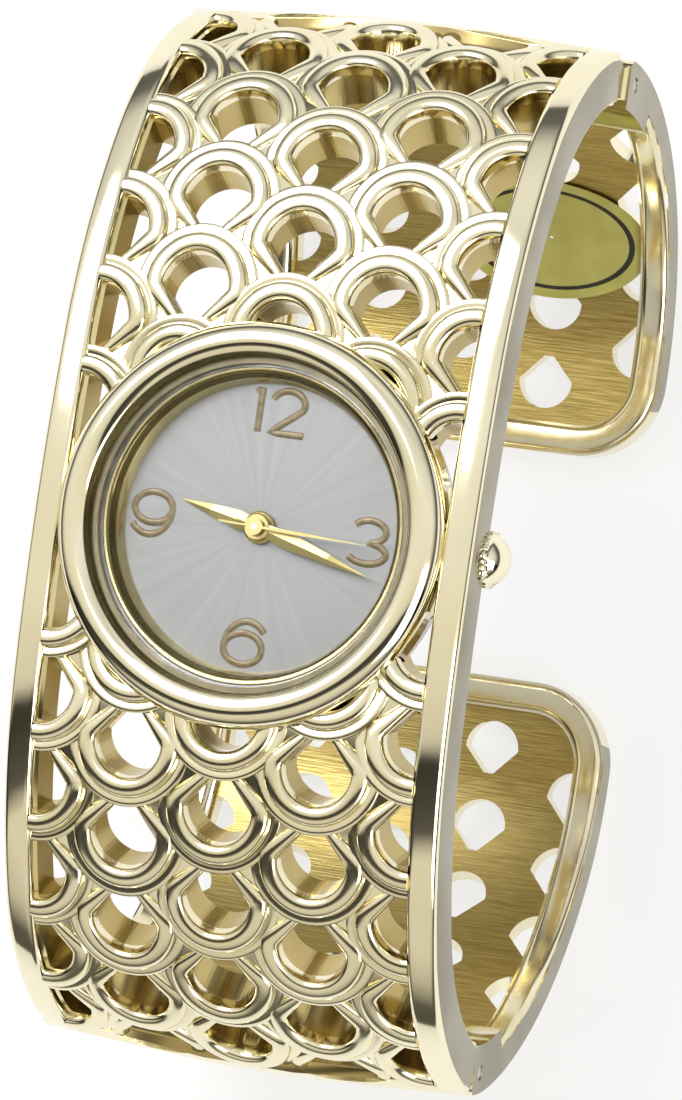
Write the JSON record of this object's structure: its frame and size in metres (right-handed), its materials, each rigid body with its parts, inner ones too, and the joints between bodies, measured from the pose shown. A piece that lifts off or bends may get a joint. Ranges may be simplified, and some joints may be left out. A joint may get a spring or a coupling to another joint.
{
  "type": "cuff watch",
  "caption": "Hinged open cuff watch: a pierced scale-pattern front panel holds a round quartz watch head, and two pierced arms swing outward on cross pins.",
  "frame": {"origin": "centre of the bounding box's underside, level with the lowest line of the two arms", "axes": "+Z out of the dial, +Y towards twelve o'clock, +X towards three o'clock and the crown"},
  "size_m": [0.0282, 0.0636, 0.0357],
  "materials": {
    "polished_gold": "polished pale gold plate",
    "case_steel": "plain steel",
    "mineral_glass": "clear polished",
    "clear_gasket": "translucent nylon",
    "gold_ring": "polished pale gold plate",
    "silver_dial": "silver sunray",
    "gold_hands": "polished gold plate",
    "brass_tubes": "turned brass",
    "white_plastic": "moulded",
    "movement_plastic": "moulded",
    "green_board": "varnished board",
    "copper_coil": "enamelled copper wire",
    "black_rubber": "moulded"
  },
  "bodies": {
    "front": {"front_panel": "polished_gold", "upper_link": "polished_gold", "lower_link": "polished_gold", "upper_hinge_pin": "case_steel", "lower_hinge_pin": "case_steel", "upper_hinge_spring": "case_steel", "lower_hinge_spring": "case_steel", "case_body": "case_steel", "bezel": "polished_gold", "crystal": "mineral_glass", "crystal_gasket": "clear_gasket", "dial_ring": "gold_ring", "dial": "silver_dial", "case_back": "case_steel", "case_back_gasket": "black_rubber", "movement_holder": "white_plastic", "movement_plate": "movement_plastic", "battery": "case_steel", "battery_clip": "case_steel", "coil": "copper_coil", "circuit_board": "green_board", "crown_tube": "case_steel"},
    "upper_arm": {"upper_arm": "polished_gold"},
    "lower_arm": {"lower_arm": "polished_gold"},
    "crown_slide": {"crown_gasket": "black_rubber"},
    "crown": {"crown": "polished_gold", "winding_stem": "case_steel"},
    "hour_hand": {"hour_hand": "gold_hands", "hour_tube": "brass_tubes"},
    "minute_hand": {"minute_hand": "gold_hands", "minute_tube": "brass_tubes"},
    "second_hand": {"second_hand": "gold_hands", "second_arbor": "case_steel"}
  },
  "joints": [
    {"name": "upper_arm_hinge", "type": "hinge", "parent": "front", "child": "upper_arm", "pos_m": [-0.0006, 0.02978, 0.01622], "axis": [1, 0, 0], "range_deg": [0, 40], "stiffness_Nm_per_rad": 0.03, "springref_deg": -28.65},
    {"name": "lower_arm_hinge", "type": "hinge", "parent": "front", "child": "lower_arm", "pos_m": [-0.0006, -0.02978, 0.01842], "axis": [-1, 0, 0], "range_deg": [0, 40], "stiffness_Nm_per_rad": 0.03, "springref_deg": -28.65},
    {"name": "crown_pull", "type": "slide", "parent": "front", "child": "crown_slide", "axis": [1, 0, 0], "range_m": [0, 0.001]},
    {"name": "crown_turn", "type": "hinge", "parent": "crown_slide", "child": "crown", "pos_m": [-0.0006, 0, 0.03091], "axis": [1, 0, 0], "continuous": true},
    {"name": "minute_hand_turn", "type": "hinge", "parent": "front", "child": "minute_hand", "pos_m": [-0.0006, 0, 0.03451], "axis": [0, 0, -1], "continuous": true},
    {"name": "hour_hand_turn", "type": "hinge", "parent": "front", "child": "hour_hand", "pos_m": [-0.0006, 0, 0.03451], "axis": [0, 0, -1], "continuous": true},
    {"name": "second_hand_turn", "type": "hinge", "parent": "front", "child": "second_hand", "pos_m": [-0.0006, 0, 0.03451], "axis": [0, 0, -1], "continuous": true}
  ],
  "couplings": [
    {"joint": "hour_hand_turn", "follows": "minute_hand_turn", "ratio": 0.083333}
  ]
}
